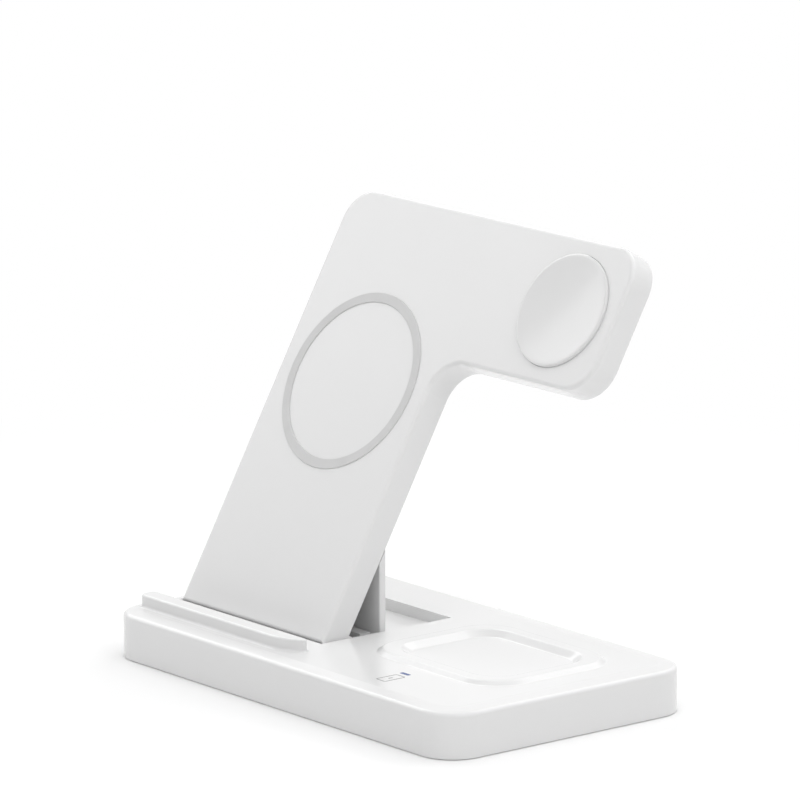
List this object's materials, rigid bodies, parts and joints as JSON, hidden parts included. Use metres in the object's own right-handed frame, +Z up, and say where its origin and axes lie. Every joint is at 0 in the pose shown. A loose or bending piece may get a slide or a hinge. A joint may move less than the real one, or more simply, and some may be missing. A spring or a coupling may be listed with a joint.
{
  "type": "wireless charging stand",
  "caption": "Folding wireless charging stand: low rectangular base with a dish, a leaning plate with a ledge in front, a round pad on a side arm and a hinged prop behind.",
  "frame": {"origin": "middle of the base in plan, on the surface the feet stand on", "axes": "+Z up, -Y the side the stand faces, +X towards the side pad"},
  "size_m": [0.1356, 0.0839, 0.1124],
  "materials": {
    "white_plastic": "satin white moulding",
    "puck_plastic": "gloss",
    "soft_grip": "matte silicone",
    "foot_rubber": "matte",
    "steel": "plated",
    "magnet": "plated",
    "black_plastic": "matte",
    "capacitor": "matte",
    "sleeve": "acetal",
    "indicator": "clear, lit blue",
    "lamp": "gloss",
    "copper": "enamelled wire",
    "ferrite": "matte",
    "board": "solder mask"
  },
  "bodies": {
    "base": {"base_top_cover": "white_plastic", "base_bottom_cover": "white_plastic", "base_feet": "foot_rubber", "base_screws": "steel", "ballast_plate": "steel", "seat_strip": "soft_grip", "light_bar": "indicator", "indicator_led": "lamp", "dish_coil": "copper", "dish_ferrite": "ferrite", "main_board": "board", "board_screws": "steel", "power_inductors": "black_plastic", "filter_capacitors": "capacitor", "controller_chip": "black_plastic", "inlet_shell": "steel", "inlet_tongue": "black_plastic", "stand_pins": "steel", "prop_pins": "steel"},
    "stand": {"stand_front_cover": "white_plastic", "stand_rear_cover": "white_plastic", "stand_screws": "steel", "hinge_sleeves": "sleeve", "lower_coil": "copper", "upper_coil": "copper", "stand_ferrite": "ferrite", "grip_ring": "soft_grip", "side_puck": "puck_plastic", "side_coil": "copper", "side_ferrite": "ferrite", "side_magnet": "magnet", "side_board": "board"},
    "prop": {"prop_panel": "white_plastic"}
  },
  "joints": [
    {"name": "stand_fold", "type": "hinge", "parent": "base", "child": "stand", "pos_m": [-0.0352, -0.00903, 0.00925], "axis": [-1, 0, 0], "range_deg": [0, 60.5]},
    {"name": "prop_fold", "type": "hinge", "parent": "base", "child": "prop", "pos_m": [-0.0352, 0.00107, 0.0098], "axis": [-1, 0, 0], "range_deg": [0, 90.1]}
  ],
  "couplings": [
    {"joint": "prop_fold", "follows": "stand_fold", "ratio": 1.4876}
  ]
}
